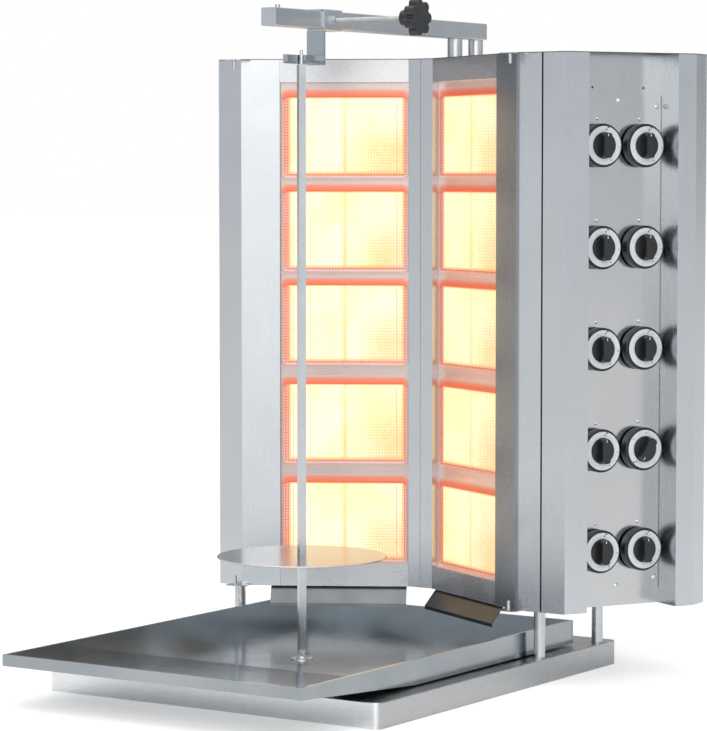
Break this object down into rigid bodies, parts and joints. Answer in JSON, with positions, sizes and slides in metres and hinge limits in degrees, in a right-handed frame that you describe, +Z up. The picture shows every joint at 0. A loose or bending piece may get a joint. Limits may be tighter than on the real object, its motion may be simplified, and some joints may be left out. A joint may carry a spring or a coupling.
{
  "type": "vertical rotisserie broiler",
  "caption": "Gas-fired vertical broiler: V-shaped pair of ceramic burner cabinets round an upright skewer, with sliding drip tray, sliding top arm carriage and push-and-turn gas knobs.",
  "frame": {"origin": "middle of the base's underside, on the counter", "axes": "+Z up, -Y towards the cook, +X towards the gas knobs"},
  "size_m": [1.0023, 1.012, 1.1554],
  "materials": {
    "housing_steel": "satin",
    "tray_steel": "satin",
    "bar_steel": "satin",
    "polished_steel": "polished",
    "burner_steel": "dull",
    "heat_mesh": "woven wire, heat tinted",
    "glowing_tile": "matt, glowing",
    "valve_brass": "satin",
    "gas_tube": "satin",
    "black_plastic": "semi-gloss"
  },
  "bodies": {
    "frame": {"arm_posts": "bar_steel", "arm_tube": "bar_steel", "back_panel": "housing_steel", "base_pan": "housing_steel", "bottom_panel": "housing_steel", "control_panel": "housing_steel", "front_post_cover": "housing_steel", "gas_manifold": "valve_brass", "gas_valves": "valve_brass", "guard_pins": "bar_steel", "left_burner_boxes": "burner_steel", "left_burner_frame": "housing_steel", "left_burner_mesh": "heat_mesh", "left_centre_flange": "housing_steel", "left_ceramic_tiles": "glowing_tile", "left_deflector": "housing_steel", "left_end_panel": "housing_steel", "left_wing": "housing_steel", "leg_tubes": "housing_steel", "panel_screws": "housing_steel", "rear_post_cover": "housing_steel", "recess_floor": "housing_steel", "right_burner_boxes": "burner_steel", "right_burner_frame": "housing_steel", "right_burner_mesh": "heat_mesh", "right_centre_flange": "housing_steel", "right_ceramic_tiles": "glowing_tile", "right_deflector": "housing_steel", "right_wing": "housing_steel", "supply_tubes": "gas_tube", "top_panel": "housing_steel"},
    "tray": {"drip_tray": "tray_steel", "pivot_cup": "bar_steel"},
    "spit": {"skewer": "bar_steel", "meat_plate": "polished_steel", "plate_pin": "bar_steel"},
    "carriage": {"carriage_sleeve": "bar_steel", "hanger_plate": "bar_steel"},
    "screw": {"clamp_screw": "bar_steel"},
    "clamp_knob": {"star_knob": "black_plastic"},
    "front_spindle_1_body": {"front_spindle_1": "bar_steel"},
    "front_knob_1_body": {"front_knob_1": "black_plastic"},
    "front_spindle_2_body": {"front_spindle_2": "bar_steel"},
    "front_knob_2_body": {"front_knob_2": "black_plastic"},
    "front_spindle_3_body": {"front_spindle_3": "bar_steel"},
    "front_knob_3_body": {"front_knob_3": "black_plastic"},
    "front_spindle_4_body": {"front_spindle_4": "bar_steel"},
    "front_knob_4_body": {"front_knob_4": "black_plastic"},
    "front_spindle_5_body": {"front_spindle_5": "bar_steel"},
    "front_knob_5_body": {"front_knob_5": "black_plastic"},
    "rear_spindle_1_body": {"rear_spindle_1": "bar_steel"},
    "rear_knob_1_body": {"rear_knob_1": "black_plastic"},
    "rear_spindle_2_body": {"rear_spindle_2": "bar_steel"},
    "rear_knob_2_body": {"rear_knob_2": "black_plastic"},
    "rear_spindle_3_body": {"rear_spindle_3": "bar_steel"},
    "rear_knob_3_body": {"rear_knob_3": "black_plastic"},
    "rear_spindle_4_body": {"rear_spindle_4": "bar_steel"},
    "rear_knob_4_body": {"rear_knob_4": "black_plastic"},
    "rear_spindle_5_body": {"rear_spindle_5": "bar_steel"},
    "rear_knob_5_body": {"rear_knob_5": "black_plastic"}
  },
  "joints": [
    {"name": "tray_slide", "type": "slide", "parent": "frame", "child": "tray", "axis": [0, 1, 0], "range_m": [-0.1, 0.16]},
    {"name": "spit_spin", "type": "hinge", "parent": "tray", "child": "spit", "pos_m": [0, -0.118, 0], "axis": [0, 0, 1], "continuous": true},
    {"name": "carriage_slide", "type": "slide", "parent": "frame", "child": "carriage", "axis": [0, 1, 0], "range_m": [-0.1, 0.16]},
    {"name": "clamp_travel", "type": "slide", "parent": "carriage", "child": "screw", "axis": [1, 0, 0], "range_m": [-0.00026, 0.0026]},
    {"name": "clamp_turn", "type": "hinge", "parent": "screw", "child": "clamp_knob", "pos_m": [0.157, -0.04825, 1.125], "axis": [1, 0, 0], "range_deg": [-70, 720]},
    {"name": "front_push_1", "type": "slide", "parent": "frame", "child": "front_spindle_1_body", "axis": [-0.866, 0.5, 0], "range_m": [0, 0.0035], "stiffness_N_per_m": 800, "springref_m": -0.004},
    {"name": "front_turn_1", "type": "hinge", "parent": "front_spindle_1_body", "child": "front_knob_1_body", "pos_m": [0.38457, 0.21279, 0.9145], "axis": [0.866, -0.5, 0], "range_deg": [0, 210]},
    {"name": "front_push_2", "type": "slide", "parent": "frame", "child": "front_spindle_2_body", "axis": [-0.866, 0.5, 0], "range_m": [0, 0.0035], "stiffness_N_per_m": 800, "springref_m": -0.004},
    {"name": "front_turn_2", "type": "hinge", "parent": "front_spindle_2_body", "child": "front_knob_2_body", "pos_m": [0.38457, 0.21279, 0.7415], "axis": [0.866, -0.5, 0], "range_deg": [0, 210]},
    {"name": "front_push_3", "type": "slide", "parent": "frame", "child": "front_spindle_3_body", "axis": [-0.866, 0.5, 0], "range_m": [0, 0.0035], "stiffness_N_per_m": 800, "springref_m": -0.004},
    {"name": "front_turn_3", "type": "hinge", "parent": "front_spindle_3_body", "child": "front_knob_3_body", "pos_m": [0.38457, 0.21279, 0.5685], "axis": [0.866, -0.5, 0], "range_deg": [0, 210]},
    {"name": "front_push_4", "type": "slide", "parent": "frame", "child": "front_spindle_4_body", "axis": [-0.866, 0.5, 0], "range_m": [0, 0.0035], "stiffness_N_per_m": 800, "springref_m": -0.004},
    {"name": "front_turn_4", "type": "hinge", "parent": "front_spindle_4_body", "child": "front_knob_4_body", "pos_m": [0.38457, 0.21279, 0.3955], "axis": [0.866, -0.5, 0], "range_deg": [0, 210]},
    {"name": "front_push_5", "type": "slide", "parent": "frame", "child": "front_spindle_5_body", "axis": [-0.866, 0.5, 0], "range_m": [0, 0.0035], "stiffness_N_per_m": 800, "springref_m": -0.004},
    {"name": "front_turn_5", "type": "hinge", "parent": "front_spindle_5_body", "child": "front_knob_5_body", "pos_m": [0.38457, 0.21279, 0.2225], "axis": [0.866, -0.5, 0], "range_deg": [0, 210]},
    {"name": "rear_push_1", "type": "slide", "parent": "frame", "child": "rear_spindle_1_body", "axis": [-0.866, 0.5, 0], "range_m": [0, 0.0035], "stiffness_N_per_m": 800, "springref_m": -0.004},
    {"name": "rear_turn_1", "type": "hinge", "parent": "rear_spindle_1_body", "child": "rear_knob_1_body", "pos_m": [0.42682, 0.28597, 0.9145], "axis": [0.866, -0.5, 0], "range_deg": [0, 210]},
    {"name": "rear_push_2", "type": "slide", "parent": "frame", "child": "rear_spindle_2_body", "axis": [-0.866, 0.5, 0], "range_m": [0, 0.0035], "stiffness_N_per_m": 800, "springref_m": -0.004},
    {"name": "rear_turn_2", "type": "hinge", "parent": "rear_spindle_2_body", "child": "rear_knob_2_body", "pos_m": [0.42682, 0.28597, 0.7415], "axis": [0.866, -0.5, 0], "range_deg": [0, 210]},
    {"name": "rear_push_3", "type": "slide", "parent": "frame", "child": "rear_spindle_3_body", "axis": [-0.866, 0.5, 0], "range_m": [0, 0.0035], "stiffness_N_per_m": 800, "springref_m": -0.004},
    {"name": "rear_turn_3", "type": "hinge", "parent": "rear_spindle_3_body", "child": "rear_knob_3_body", "pos_m": [0.42682, 0.28597, 0.5685], "axis": [0.866, -0.5, 0], "range_deg": [0, 210]},
    {"name": "rear_push_4", "type": "slide", "parent": "frame", "child": "rear_spindle_4_body", "axis": [-0.866, 0.5, 0], "range_m": [0, 0.0035], "stiffness_N_per_m": 800, "springref_m": -0.004},
    {"name": "rear_turn_4", "type": "hinge", "parent": "rear_spindle_4_body", "child": "rear_knob_4_body", "pos_m": [0.42682, 0.28597, 0.3955], "axis": [0.866, -0.5, 0], "range_deg": [-148, 62]},
    {"name": "rear_push_5", "type": "slide", "parent": "frame", "child": "rear_spindle_5_body", "axis": [-0.866, 0.5, 0], "range_m": [0, 0.0035], "stiffness_N_per_m": 800, "springref_m": -0.004},
    {"name": "rear_turn_5", "type": "hinge", "parent": "rear_spindle_5_body", "child": "rear_knob_5_body", "pos_m": [0.42682, 0.28597, 0.2225], "axis": [0.866, -0.5, 0], "range_deg": [0, 210]}
  ],
  "couplings": [
    {"joint": "carriage_slide", "follows": "tray_slide", "ratio": 1},
    {"joint": "clamp_travel", "follows": "clamp_turn", "m_per_rad": 0.000199}
  ]
}
